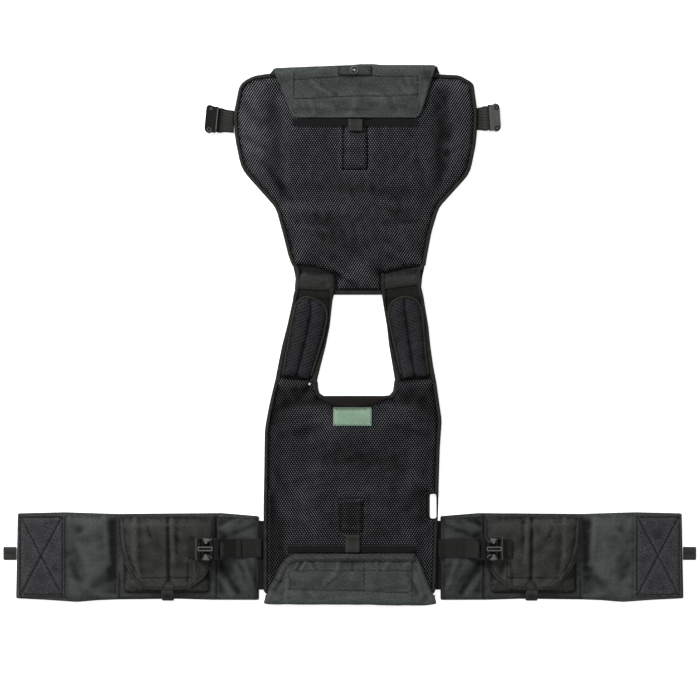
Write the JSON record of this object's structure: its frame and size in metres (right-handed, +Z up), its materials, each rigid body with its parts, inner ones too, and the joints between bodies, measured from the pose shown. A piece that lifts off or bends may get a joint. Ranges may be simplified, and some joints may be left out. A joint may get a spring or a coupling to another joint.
{
  "type": "armour carrier vest",
  "caption": "Armour carrier vest opened out flat: mesh lined front and back panels, padded shoulders, waist wings with pouches.",
  "frame": {"origin": "centre of the bounding box's underside, on the surface the opened vest lies on", "axes": "+X to the right wing tip, +Y towards the front panel's hem, +Z up, out of the mesh lined inside"},
  "size_m": [1.215, 0.9484, 0.0271],
  "materials": {
    "mesh_lining": "black knitted spacer mesh, matt",
    "shell_cloth": "charcoal woven nylon, matt",
    "pouch_cloth": "brownish black woven nylon, matt",
    "webbing": "black ribbed nylon webbing",
    "edge_tape": "black woven binding tape",
    "hook_and_loop": "black hook and loop, napped",
    "neck_facing": "dark brown black brushed cloth",
    "label_cloth": "sage green woven label, bare",
    "buckle_plastic": "black moulded acetal, semi-matt",
    "snap_metal": "plain metal snap"
  },
  "bodies": {
    "root": {"front_lining": "mesh_lining", "back_lining": "mesh_lining", "front_mesh_patch": "mesh_lining", "back_mesh_patch": "mesh_lining", "shoulder_pad_left": "mesh_lining", "shoulder_pad_right": "mesh_lining", "front_shell": "shell_cloth", "back_shell": "shell_cloth", "front_flap": "shell_cloth", "back_flap": "shell_cloth", "snap_patch": "shell_cloth", "strap_keeper_left": "shell_cloth", "strap_keeper_right": "shell_cloth", "wing_left": "shell_cloth", "wing_right": "shell_cloth", "pouch_body_left": "pouch_cloth", "pouch_body_right": "pouch_cloth", "pouch_flap_left": "pouch_cloth", "pouch_flap_right": "pouch_cloth", "front_flap_tab": "webbing", "back_flap_tab": "webbing", "shoulder_strap_left": "webbing", "shoulder_strap_right": "webbing", "chest_strap_left": "webbing", "chest_strap_right": "webbing", "wing_tab_left": "webbing", "wing_tab_right": "webbing", "pouch_tab_left": "webbing", "pouch_tab_right": "webbing", "side_strap_left": "webbing", "side_strap_right": "webbing", "side_tab_left": "webbing", "side_tab_right": "webbing", "front_edge_tape": "edge_tape", "front_neck_tape": "edge_tape", "back_edge_tape": "edge_tape", "pad_tape_left": "edge_tape", "pad_tape_right": "edge_tape", "front_loop_strip": "hook_and_loop", "back_loop_strip": "hook_and_loop", "wing_hook_pad_left": "hook_and_loop", "wing_hook_pad_right": "hook_and_loop", "neck_facing": "neck_facing", "sewn_label": "label_cloth", "chest_buckle_left": "buckle_plastic", "chest_buckle_right": "buckle_plastic", "side_socket_left": "buckle_plastic", "side_socket_right": "buckle_plastic", "side_plug_left": "buckle_plastic", "side_plug_right": "buckle_plastic", "snap_button": "snap_metal"}
  },
  "joints": []
}
